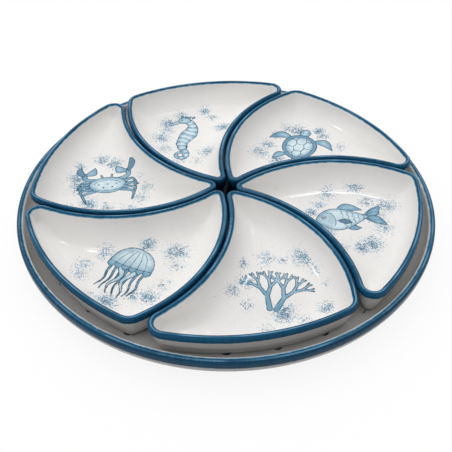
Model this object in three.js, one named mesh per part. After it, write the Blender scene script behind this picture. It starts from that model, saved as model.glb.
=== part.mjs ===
// A round serving tray of glazed earthenware with six swirled dishes that nest in it like a pinwheel.
// Millimetres, +Z up. The origin is on the table, under the middle of the tray.
import * as THREE from "three";

// The tray
const TRAY_DIAMETER = 374;
const TRAY_HEIGHT = 26.4;
const TRAY_RIM_WIDTH = 6;
const TRAY_FLOOR = 6;
const TRAY_FILLET = 12;
const TRAY_WALL_LEAN = THREE.MathUtils.degToRad(12);
const TRAY_HEEL_REACH = 16.3;
const TRAY_LIP_DEPTH = 5;
const TRAY_FOOT_DIAMETER = 282;
const TRAY_FOOT_WIDTH = 8;
const TRAY_FOOT_HEIGHT = 4;
const TRAY_FOOT_DRAFT = 2;

// The six dishes: how they share the tray
const DISH_NAMES = ["dish_right", "dish_rear_right", "dish_rear", "dish_left", "dish_front_left", "dish_front"];
const DISH_TURN = (2 * Math.PI) / DISH_NAMES.length;
const DISH_GAP = 1.6;
const TRAY_DISH_GAP = 6.6;
const SEAT_GAP = 0.3;

// The outline of a dish: two swirl arcs and an outer arc, with rounded corners
const SWIRL_RADIUS = 135.3;
const SWIRL_MISS = 3.7;
const SWIRL_HEADING = THREE.MathUtils.degToRad(-43.5);
const EDGE_RADIUS = 199.5;
const EDGE_HEADING = THREE.MathUtils.degToRad(-12.3);
const TIP_RADIUS = 7;
const HOOK_RADIUS = 12.4;
const SHOULDER_RADIUS = 15.4;
const LEAST_CORNER_RADIUS = 3;

// The section of a dish
const DISH_HEIGHT = 28.5;
const DISH_RIM_WIDTH = 5;
const DISH_LIP_DEPTH = 5;
const DISH_LIP_OVERHANG = 1;
const DISH_FLOOR = 5;
const DISH_INNER_LEAN = THREE.MathUtils.degToRad(20);
const DISH_OUTER_LEAN = THREE.MathUtils.degToRad(16);
const DISH_FILLET = 12;
const DISH_HEEL_RADIUS = 7;
const DISH_FOOT_WIDTH = 5;
const DISH_FOOT_HEIGHT = 1.2;
const DISH_FOOT_DRAFT = 1.5;

// How finely the round stretches are cut
const TRAY_SEGMENTS = 72;
const SIDE_STEPS = 10;
const CORNER_STEPS = 4;
const BEAD_STEPS = 6;
const FILLET_STEPS = 4;

const RIGHT_ANGLE = Math.PI / 2;
const trayRadius = TRAY_DIAMETER / 2;
const trayFloorHeight = TRAY_FOOT_HEIGHT + TRAY_FLOOR;
const dishReach = trayRadius - TRAY_RIM_WIDTH - TRAY_DISH_GAP;

const whiteGlaze = { color: 0xe9e4dd, roughness: 0.18, metalness: 0 };

function headed(length, angle) {
  return new THREE.Vector2(length * Math.cos(angle), length * Math.sin(angle));
}

// Points along an arc, from its start up to but not including its end.
function arcPoints(center, radius, from, to, clockwise, steps) {
  const curve = new THREE.EllipseCurve(center.x, center.y, radius, radius, from, to, clockwise);
  return Array.from({ length: steps }, (_, step) => curve.getPoint(step / steps));
}

// Where two circles cross, on the left of the way from the first centre to the second.
function crossing(first, firstRadius, second, secondRadius) {
  const way = second.clone().sub(first);
  const apart = way.length();
  const along = (firstRadius ** 2 - secondRadius ** 2 + apart ** 2) / (2 * apart);
  const aside = Math.sqrt(firstRadius ** 2 - along ** 2);
  way.divideScalar(apart);
  const left = new THREE.Vector2(-way.y, way.x);
  return first.clone().addScaledVector(way, along).addScaledVector(left, aside);
}

function angleFrom(center, point) {
  return point.clone().sub(center).angle();
}

// How far a fillet between a floor and a leaning wall reaches along both of them.
function filletReach(radius, lean) {
  return radius / Math.tan((RIGHT_ANGLE + lean) / 2);
}

// One ring of a dish, counter-clockwise from its tip, a given inset from the outside of its rim.
// The bulging side lies inside its swirl circle, and the hollow side outside the next dish's circle.
function dishRing(inset) {
  const bulge = headed(SWIRL_RADIUS + SWIRL_MISS, SWIRL_HEADING);
  const hollow = headed(SWIRL_RADIUS + SWIRL_MISS, SWIRL_HEADING - DISH_TURN);
  const edge = headed(dishReach - EDGE_RADIUS, EDGE_HEADING);
  const bulgeRadius = SWIRL_RADIUS - DISH_GAP / 2 - inset;
  const hollowRadius = SWIRL_RADIUS + DISH_GAP / 2 + inset;
  const edgeRadius = EDGE_RADIUS - inset;

  const tipRadius = Math.max(TIP_RADIUS - inset, LEAST_CORNER_RADIUS);
  const hookRadius = Math.max(HOOK_RADIUS - inset, LEAST_CORNER_RADIUS);
  const shoulderRadius = Math.max(SHOULDER_RADIUS - inset, LEAST_CORNER_RADIUS);
  const tip = crossing(hollow, hollowRadius + tipRadius, bulge, bulgeRadius - tipRadius);
  const hook = crossing(edge, edgeRadius - hookRadius, hollow, hollowRadius + hookRadius);
  const shoulder = crossing(edge, edgeRadius - shoulderRadius, bulge, bulgeRadius - shoulderRadius);

  const hollowStart = angleFrom(hollow, tip);
  const hollowEnd = angleFrom(hollow, hook);
  const edgeStart = angleFrom(edge, hook);
  const edgeEnd = angleFrom(edge, shoulder);
  const bulgeStart = angleFrom(bulge, shoulder);
  const bulgeEnd = angleFrom(bulge, tip);
  return [
    ...arcPoints(hollow, hollowRadius, hollowStart, hollowEnd, true, SIDE_STEPS),
    ...arcPoints(hook, hookRadius, hollowEnd + Math.PI, edgeStart, false, CORNER_STEPS),
    ...arcPoints(edge, edgeRadius, edgeStart, edgeEnd, false, SIDE_STEPS),
    ...arcPoints(shoulder, shoulderRadius, edgeEnd, bulgeStart, false, CORNER_STEPS),
    ...arcPoints(bulge, bulgeRadius, bulgeStart, bulgeEnd, false, SIDE_STEPS),
    ...arcPoints(tip, tipRadius, bulgeEnd, hollowStart + Math.PI, false, CORNER_STEPS),
  ];
}

// The section of a dish as (inset, height), from its underside, up the outside and over the rim, to its floor.
function dishSection() {
  const lipHeight = DISH_HEIGHT - DISH_LIP_DEPTH;
  const beadRadius = DISH_RIM_WIDTH / 2;
  const bead = new THREE.Vector2(beadRadius, DISH_HEIGHT - beadRadius);
  const floorHeight = DISH_FOOT_HEIGHT + DISH_FLOOR;

  const wallTop = new THREE.Vector2(DISH_LIP_OVERHANG, lipHeight - DISH_LIP_OVERHANG);
  const outerFoot = wallTop.x + wallTop.y * Math.tan(DISH_OUTER_LEAN);
  const heelReach = filletReach(DISH_HEEL_RADIUS, DISH_OUTER_LEAN);
  const heel = new THREE.Vector2(outerFoot + heelReach, DISH_HEEL_RADIUS);
  const footInside = heel.x + DISH_FOOT_WIDTH;

  const brow = bead.clone().add(headed(beadRadius, DISH_INNER_LEAN));
  const innerFoot = brow.x + (brow.y - floorHeight) * Math.tan(DISH_INNER_LEAN);
  const floorReach = filletReach(DISH_FILLET, DISH_INNER_LEAN);
  const fillet = new THREE.Vector2(innerFoot + floorReach, floorHeight + DISH_FILLET);
  return [
    new THREE.Vector2(footInside + DISH_FOOT_DRAFT, DISH_FOOT_HEIGHT),
    new THREE.Vector2(footInside, 0),
    ...arcPoints(heel, DISH_HEEL_RADIUS, -RIGHT_ANGLE, DISH_OUTER_LEAN - Math.PI, true, FILLET_STEPS),
    heel.clone().add(headed(DISH_HEEL_RADIUS, DISH_OUTER_LEAN - Math.PI)),
    wallTop,
    new THREE.Vector2(0, lipHeight),
    ...arcPoints(bead, beadRadius, Math.PI, DISH_INNER_LEAN, true, BEAD_STEPS),
    brow,
    ...arcPoints(fillet, DISH_FILLET, DISH_INNER_LEAN + Math.PI, 3 * RIGHT_ANGLE, false, FILLET_STEPS),
    new THREE.Vector2(fillet.x, floorHeight),
  ];
}

// A closed skin through rings of equally many points, with its first and last ring filled in flat.
function loftedGeometry(rings) {
  const count = rings[0].length;
  const positions = rings.flatMap((ring) => ring.flatMap((point) => [point.x, point.y, point.z]));
  const faces = [];
  for (let level = 0; level < rings.length - 1; level++) {
    for (let step = 0; step < count; step++) {
      const here = level * count + step;
      const next = level * count + ((step + 1) % count);
      faces.push(here, next, next + count, here, next + count, here + count);
    }
  }
  const lastRing = (rings.length - 1) * count;
  for (const [a, b, c] of THREE.ShapeUtils.triangulateShape(rings[0], [])) {
    faces.push(c, b, a);
  }
  for (const [a, b, c] of THREE.ShapeUtils.triangulateShape(rings[rings.length - 1], [])) {
    faces.push(lastRing + a, lastRing + b, lastRing + c);
  }
  const geometry = new THREE.BufferGeometry();
  geometry.setAttribute("position", new THREE.Float32BufferAttribute(positions, 3));
  geometry.setIndex(faces);
  geometry.computeVertexNormals();
  return geometry;
}

function makeDish(name) {
  const rings = dishSection().map((station) =>
    dishRing(station.x).map((point) => new THREE.Vector3(point.x, point.y, station.y)),
  );
  const dish = new THREE.Mesh(loftedGeometry(rings), new THREE.MeshStandardMaterial(whiteGlaze));
  dish.name = name;
  return dish;
}

// The section of the tray as (radius, height), from the middle of its underside to the middle of its floor.
function traySection() {
  const footRadius = TRAY_FOOT_DIAMETER / 2;
  const beadRadius = TRAY_RIM_WIDTH / 2;
  const bead = new THREE.Vector2(trayRadius - beadRadius, TRAY_HEIGHT - beadRadius);
  const lipHeight = TRAY_HEIGHT - TRAY_LIP_DEPTH;
  const heelRadius = trayRadius - TRAY_HEEL_REACH;
  const outside = new THREE.EllipseCurve(
    heelRadius, lipHeight, TRAY_HEEL_REACH, lipHeight - TRAY_FOOT_HEIGHT, -RIGHT_ANGLE, 0,
  );

  const browAngle = Math.PI - TRAY_WALL_LEAN;
  const brow = bead.clone().add(headed(beadRadius, browAngle));
  const innerFoot = brow.x - (brow.y - trayFloorHeight) * Math.tan(TRAY_WALL_LEAN);
  const floorReach = filletReach(TRAY_FILLET, TRAY_WALL_LEAN);
  const fillet = new THREE.Vector2(innerFoot - floorReach, trayFloorHeight + TRAY_FILLET);
  return [
    new THREE.Vector2(0, TRAY_FOOT_HEIGHT),
    new THREE.Vector2(footRadius - TRAY_FOOT_WIDTH - TRAY_FOOT_DRAFT, TRAY_FOOT_HEIGHT),
    new THREE.Vector2(footRadius - TRAY_FOOT_WIDTH, 0),
    new THREE.Vector2(footRadius, 0),
    new THREE.Vector2(footRadius + TRAY_FOOT_DRAFT, TRAY_FOOT_HEIGHT),
    ...outside.getPoints(2 * FILLET_STEPS),
    ...arcPoints(bead, beadRadius, 0, browAngle, false, BEAD_STEPS),
    brow,
    ...arcPoints(fillet, TRAY_FILLET, -TRAY_WALL_LEAN, -RIGHT_ANGLE, true, FILLET_STEPS),
    new THREE.Vector2(fillet.x, trayFloorHeight),
    new THREE.Vector2(0, trayFloorHeight),
  ];
}

function makeTray() {
  const geometry = new THREE.LatheGeometry(traySection(), TRAY_SEGMENTS);
  geometry.rotateX(RIGHT_ANGLE);
  const tray = new THREE.Mesh(geometry, new THREE.MeshStandardMaterial(whiteGlaze));
  tray.name = "tray";
  return tray;
}

const platter = new THREE.Group();
platter.add(makeTray());
DISH_NAMES.forEach((name, place) => {
  const seat = new THREE.Group();
  seat.rotation.z = place * DISH_TURN;
  seat.position.z = trayFloorHeight + SEAT_GAP;
  seat.add(makeDish(name));
  platter.add(seat);
});

export default platter;
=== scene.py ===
# %% [markdown]
# # A round tray with six swirled dishes
# The real object is a serving set of glazed earthenware. Six equal dishes nest in a tray like the blades
# of a pinwheel, and every rim is brushed with blue. This lesson builds the fine surface of each piece
# with numpy, paints it with shader nodes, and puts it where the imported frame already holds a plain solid
# of that piece. The frame is loaded first, because every size and place below is measured from it.

# %% The frame
import math

import bpy
import numpy as np
from mathutils import Matrix, Vector


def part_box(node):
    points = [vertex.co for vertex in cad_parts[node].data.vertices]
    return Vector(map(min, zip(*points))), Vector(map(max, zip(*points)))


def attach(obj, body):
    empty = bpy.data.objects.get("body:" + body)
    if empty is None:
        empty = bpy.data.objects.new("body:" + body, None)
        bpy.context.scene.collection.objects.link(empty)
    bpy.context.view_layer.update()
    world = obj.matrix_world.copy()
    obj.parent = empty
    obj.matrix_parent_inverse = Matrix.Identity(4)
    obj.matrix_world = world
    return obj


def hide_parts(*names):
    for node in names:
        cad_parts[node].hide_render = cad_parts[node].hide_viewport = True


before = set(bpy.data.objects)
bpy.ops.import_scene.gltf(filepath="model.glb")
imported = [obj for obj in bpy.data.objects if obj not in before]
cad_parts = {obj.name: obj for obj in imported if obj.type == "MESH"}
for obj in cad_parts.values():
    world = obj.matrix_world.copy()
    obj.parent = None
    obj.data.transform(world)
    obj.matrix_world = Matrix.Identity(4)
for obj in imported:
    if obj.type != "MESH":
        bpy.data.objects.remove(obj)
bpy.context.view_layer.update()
MM = 0.001
tray_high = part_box("tray")[1]
dish_low, dish_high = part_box("dish_right")
tray_radius = tray_high.x / MM
tray_height = tray_high.z / MM
dish_seat = dish_low.z / MM
rim_top = dish_high.z / MM
print(f"frame: tray {2 * tray_radius:.1f} mm across, dishes stand from {dish_seat:.1f} to {rim_top:.1f} mm")

# %% [markdown]
# ## The camera
# The set was seen from the front and from about forty degrees above the table. The camera is aimed a
# little lower than the middle of the set, which puts the platter in the upper part of the picture.
# Turning the camera by a matrix, and not by three angles, keeps the small roll of the picture about the
# camera's own axis.

# %% Camera
VIEW_DISTANCE = 660.9
VIEW_ELEVATION = math.radians(39.63)
VIEW_PITCH = math.radians(42.88)
VIEW_ROLL = math.radians(0.28)
FOCAL_PIXELS = 734.5
FRAME_PIXELS = 452
SENSOR = 36.0


def linked(name, data):
    """A new object of the scene that shows some data."""
    made = bpy.data.objects.new(name, data)
    bpy.context.scene.collection.objects.link(made)
    return made


def make_camera():
    """The camera stands on a slanting line through the middle of the dishes' rims."""
    data = bpy.data.cameras.new("camera")
    data.sensor_width = SENSOR
    data.lens = FOCAL_PIXELS / FRAME_PIXELS * SENSOR
    camera = linked("camera", data)
    back = Vector((0, -math.cos(VIEW_ELEVATION), math.sin(VIEW_ELEVATION))) * VIEW_DISTANCE * MM
    place = Vector((0, 0, rim_top * MM)) + back
    tilt = Matrix.Rotation(math.pi / 2 - VIEW_PITCH, 4, "X")
    roll = Matrix.Rotation(VIEW_ROLL, 4, "Z")
    camera.matrix_world = Matrix.Translation(place) @ tilt @ roll
    bpy.context.scene.camera = camera
    return camera


camera = make_camera()
print(f"camera: {camera.data.lens:.1f} mm lens at {[round(x, 3) for x in camera.location]}")

# %% [markdown]
# ## Small helpers for node trees
# Shader trees are easier to read as formulas than as boxes. Each helper below adds one node, feeds it
# from numbers or from other nodes' sockets, and gives back its output, so that a mask or a colour can be
# written as a sentence.

# %% Node helpers
SOCKET_KINDS = {"Place": "Vector", "Trail": "Vector", "Ground": "Color", "Colour": "Color"}
TINY = 1e-6


def feed(tree, socket, value):
    """Links a socket to another one, or sets its own value."""
    if isinstance(value, bpy.types.NodeSocket):
        tree.links.new(value, socket)
    else:
        socket.default_value = value


def calc(tree, operation, *values, clamp=False):
    """One Math node."""
    node = tree.nodes.new("ShaderNodeMath")
    node.operation = operation
    node.use_clamp = clamp
    for socket, value in zip(node.inputs, values):
        feed(tree, socket, value)
    return node.outputs[0]


def ease(tree, value, zero_at, one_at):
    """A soft step that is 0 at one value and 1 at another."""
    node = tree.nodes.new("ShaderNodeMapRange")
    node.interpolation_type = "SMOOTHSTEP"
    for name, number in (("Value", value), ("From Min", zero_at), ("From Max", one_at)):
        feed(tree, node.inputs[name], number)
    return node.outputs[0]


def mixed(tree, share, first, second):
    """The first colour where the share is 0, and the second where it is 1."""
    node = tree.nodes.new("ShaderNodeMix")
    node.data_type = "RGBA"
    colours = [socket for socket in node.inputs if socket.type == "RGBA"]
    feed(tree, node.inputs[0], share)
    feed(tree, colours[0], first)
    feed(tree, colours[1], second)
    return next(socket for socket in node.outputs if socket.type == "RGBA")


def stretched(tree, vector, scale):
    """A vector with each part multiplied by its own number."""
    node = tree.nodes.new("ShaderNodeVectorMath")
    node.operation = "MULTIPLY"
    feed(tree, node.inputs[0], vector)
    feed(tree, node.inputs[1], scale)
    return node.outputs[0]


def split(tree, vector):
    """The parts of a vector, by the names X, Y and Z."""
    node = tree.nodes.new("ShaderNodeSeparateXYZ")
    feed(tree, node.inputs[0], vector)
    return node.outputs


def noise(tree, vector, scale, detail=2.0, rough=0.5):
    """Cloudy noise from 0 to 1, with a number of features per unit of the vector."""
    node = tree.nodes.new("ShaderNodeTexNoise")
    for name, value in (("Vector", vector), ("Scale", scale), ("Detail", detail), ("Roughness", rough)):
        feed(tree, node.inputs[name], value)
    return node.outputs["Fac"]


def carried(tree, name, part="Fac"):
    """A number or vector that the mesh carries at its points."""
    node = tree.nodes.new("ShaderNodeAttribute")
    node.attribute_name = name
    return node.outputs[part]


def new_group(name, inputs, outputs):
    """An empty node group, with the sockets that its inner nodes read from and write to. Sockets are
    plain numbers unless the table of kinds says otherwise."""
    group = bpy.data.node_groups.new(name, "ShaderNodeTree")
    for way, sockets in (("INPUT", inputs), ("OUTPUT", outputs)):
        for socket in sockets:
            kind = SOCKET_KINDS.get(socket, "Float")
            group.interface.new_socket(socket, in_out=way, socket_type="NodeSocket" + kind)
    read = group.nodes.new("NodeGroupInput").outputs
    write = group.nodes.new("NodeGroupOutput").inputs
    return group, read, write


def placed(tree, group, **values):
    """A node group set into a material, with its inputs fed by name."""
    node = tree.nodes.new("ShaderNodeGroup")
    node.node_tree = group
    for name, value in values.items():
        feed(tree, node.inputs[name], value)
    return node.outputs


print("node helpers are ready")

# %% [markdown]
# ## Light and floor
# Glossy white ware is usually photographed in a tent of white cloth: light comes from nearly all round,
# and short strip lamps under the roof draw thin bright lines in the bowls. The front of the tent is open
# for the camera, so a low card throws light back from there. The world stands for cloth and card, and
# area lamps for the strips. World and floor show as plain white to the camera and to reflections, and
# light the set with their own brightness. The floor keeps a part of its own shading, so that the tray
# still throws a shadow.

# %% World and lamps
def rises(*degrees):
    """The heights of directions that climb by some angles above the table."""
    return [math.sin(math.radians(angle)) for angle in degrees]


TENT_ROOF = 1.52
TENT_SIDES = (
    ("X", 1, 0.0, 0.36),
    ("X", -1, 0.27, 1.06),
    ("Y", 1, 0.34, 1.62),
)
FRONT_CARD = 2.50
CARD_FOOT = rises(8, 14)
CARD_TOP = rises(26, 20)
ROOF_RISE = rises(50, 72)
FOOT_RISE = rises(36, 14)
LAMP_HEIGHT = 0.50
LAMP_SPANS = ((-0.245, -0.19, 0.17), (-0.02, 0.01, 0.32), (0.15, 0.20, 0.28))
LAMP_WIDTH = 0.014
LAMP_RADIANCE = 70.0
PLAIN_WHITE = (1.0, 1.0, 1.0, 1)


def side_share(tree, part, sign, across):
    """How far a direction points to one side: the square of its part along the side's axis, level with
    the table."""
    toward = calc(tree, "MAXIMUM", calc(tree, "MULTIPLY", part, sign), 0.0)
    return calc(tree, "DIVIDE", calc(tree, "MULTIPLY", toward, toward), calc(tree, "MAXIMUM", across, TINY))


def seen_share(tree):
    """1 for rays from the camera, from reflections and through glass, and 0 for those that only carry
    light."""
    path = tree.nodes.new("ShaderNodeLightPath").outputs
    seen = calc(tree, "ADD", path["Is Camera Ray"], path["Is Glossy Ray"])
    return calc(tree, "ADD", seen, path["Is Transmission Ray"], clamp=True)


def make_tent():
    """Each closed side of the tent has a brightness near the table and one higher up, the roof has its
    own, and the card in front is a low band. Where the tent is seen, also in reflections, it is plain
    white all round."""
    world = bpy.data.worlds.new("tent")
    world.use_nodes = True
    tree = world.node_tree
    parts = split(tree, tree.nodes.new("ShaderNodeTexCoord").outputs["Generated"])
    rise = parts["Z"]
    roof = ease(tree, rise, *ROOF_RISE)
    foot = ease(tree, rise, *FOOT_RISE)
    waist = calc(tree, "SUBTRACT", calc(tree, "SUBTRACT", 1.0, roof), foot)
    across = calc(tree, "SUBTRACT", 1.0, calc(tree, "MULTIPLY", rise, rise))
    light = calc(tree, "MULTIPLY", roof, TENT_ROOF)
    for axis, sign, low, high in TENT_SIDES:
        share = side_share(tree, parts[axis], sign, across)
        side = calc(tree, "MULTIPLY_ADD", foot, low, calc(tree, "MULTIPLY", waist, high))
        light = calc(tree, "MULTIPLY_ADD", share, side, light)
    band = calc(tree, "MULTIPLY", ease(tree, rise, *CARD_FOOT), ease(tree, rise, *CARD_TOP))
    card = calc(tree, "MULTIPLY", band, side_share(tree, parts["Y"], -1, across))
    light = calc(tree, "MULTIPLY_ADD", card, FRONT_CARD, light)
    shown = mixed(tree, seen_share(tree), light, PLAIN_WHITE)
    feed(tree, tree.nodes["Background"].inputs["Color"], shown)
    bpy.context.scene.world = world


def make_lamp(name, place, size, power):
    """A rectangular lamp that shines down at the middle of the table."""
    data = bpy.data.lights.new(name, "AREA")
    data.shape = "RECTANGLE"
    data.size, data.size_y = size
    data.energy = power
    lamp = linked(name, data)
    lamp.location = place
    lamp.rotation_euler = (Vector((0, 0, 0)) - Vector(place)).to_track_quat("-Z", "Y").to_euler()


bpy.context.scene.view_settings.view_transform = "Standard"
make_tent()
for left, right, back in LAMP_SPANS:
    size = (right - left, LAMP_WIDTH)
    place = ((left + right) / 2, back, LAMP_HEIGHT)
    make_lamp("strip_lamp", place, size, LAMP_RADIANCE * math.pi * size[0] * size[1])
print(f"light: a tent with {len(LAMP_SPANS)} strip lamps")

# %% Floor
FLOOR_HALF = 3.0
FLOOR_DROP = 0.0002
FLOOR_BOUNCE = (0.28, 0.28, 0.28, 1)
FLOOR_SHADING_SHARE = 0.12
FLOOR_ROUGHNESS = 0.9


def floor_material():
    """A grey cloth for the light that it gives back, and a white one, mostly plain white, where it is
    seen."""
    material = bpy.data.materials.new("white_floor")
    material.use_nodes = True
    tree = material.node_tree
    cloth = tree.nodes["Principled BSDF"]
    cloth.inputs["Roughness"].default_value = FLOOR_ROUGHNESS
    glow = tree.nodes.new("ShaderNodeEmission")
    seen = seen_share(tree)
    feed(tree, cloth.inputs["Base Color"], mixed(tree, seen, FLOOR_BOUNCE, PLAIN_WHITE))
    share = calc(tree, "MULTIPLY", seen, 1 - FLOOR_SHADING_SHARE)
    mix = tree.nodes.new("ShaderNodeMixShader")
    for socket, value in zip(mix.inputs, (share, cloth.outputs[0], glow.outputs[0])):
        feed(tree, socket, value)
    tree.links.new(mix.outputs[0], tree.nodes["Material Output"].inputs["Surface"])
    return material


def make_floor():
    """A square just under the foot of the tray."""
    corners = np.array([(-1, -1, 0), (1, -1, 0), (1, 1, 0), (-1, 1, 0)]) * FLOOR_HALF
    mesh = bpy.data.meshes.new("floor")
    mesh.from_pydata(corners - (0, 0, FLOOR_DROP), [], [(0, 1, 2, 3)])
    mesh.materials.append(floor_material())
    floor = linked("floor", mesh)


make_floor()
print(f"floor: {2 * FLOOR_HALF:.0f} m square")

# %% [markdown]
# ## A section with rounded corners
# Both the tray and the dishes were cast with soft corners, and their sections are straight lines joined
# by arcs. It is enough to list the corners of a section and the radius of each one. The arc in a corner
# starts where its tangent point lies on the line, at radius times the tangent of half the turn.

# %% Rounded sections
ARC_STEP = math.radians(9)


def rounded_section(corners, radii, spacing):
    """Points along a line with rounded corners. Each corner c becomes an arc about c + (bisector) r /
    cos(turn / 2), and marks every `spacing` millimetres are added on the way, so that painted edges have
    points to lie on."""
    corners = np.array(corners, float)
    pieces = [corners[:1]]
    for before, corner, after, radius in zip(corners[:-2], corners[1:-1], corners[2:], radii):
        came = (corner - before) / np.hypot(*(corner - before))
        goes = (after - corner) / np.hypot(*(after - corner))
        turn = math.atan2(came[0] * goes[1] - came[1] * goes[0], came @ goes)
        start = corner - came * radius * math.tan(abs(turn) / 2)
        side = np.array([-came[1], came[0]]) * math.copysign(radius, turn)
        steps = max(2, math.ceil(abs(turn) / ARC_STEP), math.ceil(abs(turn) * radius / spacing))
        angles = np.linspace(0, turn, steps + 1)[:, None]
        spoke = -side
        swung = np.hstack([spoke[0] * np.cos(angles) - spoke[1] * np.sin(angles),
                           spoke[0] * np.sin(angles) + spoke[1] * np.cos(angles)])
        pieces.append(start + side + swung)
    path = np.vstack(pieces + [corners[-1:]])
    run = np.r_[0, np.cumsum(np.hypot(*np.diff(path, axis=0).T))]
    marks = np.arange(spacing, run[-1], spacing)
    marks = marks[np.abs(marks[:, None] - run).min(1) > spacing / 4]
    stations = np.sort(np.r_[run, marks])
    return np.c_[np.interp(stations, run, path[:, 0]), np.interp(stations, run, path[:, 1])]


def run_from_crest(section):
    """How far each station lies from the highest one along the section, positive on the inside."""
    run = np.r_[0, np.cumsum(np.hypot(*np.diff(section, axis=0).T))]
    return run - run[section[:, 1].argmax()]


def lean_across(height, lean):
    """How far a leaning wall moves sideways over a height."""
    return height * math.tan(lean)


print("sections: corners and radii become points")

# %% [markdown]
# ## The section of a dish
# A dish stands on a low foot ring that was wiped free of glaze. Its outside leans out to a thick rounded
# rim that overhangs by a millimetre, and its inside is a bowl: a short steep wall, a wide fillet and a
# gently dished apron that ends in the flat floor. A station of the section is an inset from the outside
# of the rim and a height above the foot.

# %% Dish section
DISH_RIM_WIDTH = 5.0
DISH_LIP_DEPTH = 5.0
DISH_LIP_OVERHANG = 1.0
DISH_FLOOR = 5.0
DISH_INNER_LEAN = math.radians(14)
DISH_OUTER_LEAN = math.radians(16)
DISH_FILLET = 22.0
APRON_TILT = math.radians(14)
APRON_RADIUS = 40.0
DISH_HEEL_RADIUS = 7.0
DISH_FOOT_WIDTH = 5.0
DISH_FOOT_HEIGHT = 1.2
DISH_FOOT_DRAFT = 1.5
SOFT_EDGE = 0.6
LIP_SOFTNESS = 0.9
DISH_SPACING = 0.9
dish_height = rim_top - dish_seat


def dish_section():
    """From the recess under the dish, round the foot, up the outside, over the rim and down to the
    floor."""
    lip = dish_height - DISH_LIP_DEPTH
    wall_top = lip - DISH_LIP_OVERHANG
    floor = DISH_FOOT_HEIGHT + DISH_FLOOR
    outer_foot = DISH_LIP_OVERHANG + lean_across(wall_top, DISH_OUTER_LEAN)
    heel = outer_foot + DISH_HEEL_RADIUS / math.tan(math.pi / 4 + DISH_OUTER_LEAN / 2)
    foot_inside = heel + DISH_FOOT_WIDTH
    bead = DISH_RIM_WIDTH / 2
    crown = bead + bead * math.tan(math.pi / 4 - DISH_INNER_LEAN / 2)
    blend = APRON_RADIUS * math.tan(APRON_TILT / 2)
    apron = blend + DISH_FILLET * math.tan(math.pi / 4 - DISH_INNER_LEAN / 2 - APRON_TILT / 2)
    wall_foot = floor + apron * math.sin(APRON_TILT)
    inner_foot = crown + lean_across(dish_height - wall_foot, DISH_INNER_LEAN)
    floor_edge = inner_foot + apron * math.cos(APRON_TILT)
    corners = [
        (foot_inside + DISH_FOOT_DRAFT + SOFT_EDGE, DISH_FOOT_HEIGHT),
        (foot_inside + DISH_FOOT_DRAFT, DISH_FOOT_HEIGHT),
        (foot_inside, 0),
        (outer_foot, 0),
        (DISH_LIP_OVERHANG, wall_top),
        (0, lip),
        (0, dish_height),
        (crown, dish_height),
        (inner_foot, wall_foot),
        (floor_edge, floor),
        (floor_edge + blend + SOFT_EDGE, floor),
    ]
    outside = (SOFT_EDGE, SOFT_EDGE, DISH_HEEL_RADIUS, LIP_SOFTNESS, SOFT_EDGE)
    inside = (bead, bead, DISH_FILLET, APRON_RADIUS)
    return rounded_section(corners, outside + inside, DISH_SPACING)


dish_stations = dish_section()
print(f"dish section: {len(dish_stations)} stations, {np.ptp(dish_stations[:, 0]):.1f} mm deep in plan")

# %% [markdown]
# ## The outline of a dish
# Seen from above, a dish has a bulging side, a hollow side and an outer edge, each an arc. The hollow
# side lies outside the swirl circle of the next dish, so the dishes nest with an even gap. All rings of a
# dish are the same three arcs moved inwards, with their corners rounded, and they are worked out for all
# insets at once.

# %% Dish rings
DISH_NAMES = ("dish_right", "dish_rear_right", "dish_rear", "dish_left", "dish_front_left", "dish_front")
DISH_TURN = 2 * math.pi / len(DISH_NAMES)
DISH_GAP = 1.6
TRAY_RIM_WIDTH = 6.0
TRAY_DISH_GAP = 6.6
DISH_REACH = tray_radius - TRAY_RIM_WIDTH - TRAY_DISH_GAP
SWIRL_RADIUS = 135.3
SWIRL_MISS = 3.7
SWIRL_HEADING = math.radians(-43.5)
EDGE_RADIUS = 199.5
EDGE_HEADING = math.radians(-12.3)
TIP_RADIUS = 7.0
HOOK_RADIUS = 12.4
SHOULDER_RADIUS = 15.4
LEAST_CORNER_RADIUS = 3.0
CORNER_SOFTENING = 0.2
SIDE_STEPS = 112
CORNER_STEPS = 34


def headed(length, angle):
    """The point that lies at a distance and an angle from the middle."""
    return np.array([length * math.cos(angle), length * math.sin(angle)])


def crossing(first, first_radius, second, second_radius):
    """Where two circles cross, on the left of the way from the first centre to the second."""
    way = second - first
    apart = np.hypot(*way)
    way = way / apart
    along = (first_radius ** 2 - second_radius ** 2 + apart ** 2) / (2 * apart)
    aside = np.sqrt(first_radius ** 2 - along ** 2)
    return first + along[:, None] * way + aside[:, None] * np.array([-way[1], way[0]])


def angle_from(center, point):
    """The angles at which points are seen from a centre."""
    away = point - center
    return np.arctan2(away[:, 1], away[:, 0])


def arcs(center, radius, start, end, steps, clockwise=False):
    """Arcs for all insets at once, each from its start up to but not including its end."""
    turn = -np.mod(start - end, 2 * np.pi) if clockwise else np.mod(end - start, 2 * np.pi)
    angle = start[:, None] + turn[:, None] * (np.arange(steps) / steps)
    spokes = np.stack([np.cos(angle), np.sin(angle)], axis=-1) * radius[:, None, None]
    return np.broadcast_to(center, (len(radius), 2))[:, None] + spokes


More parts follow.
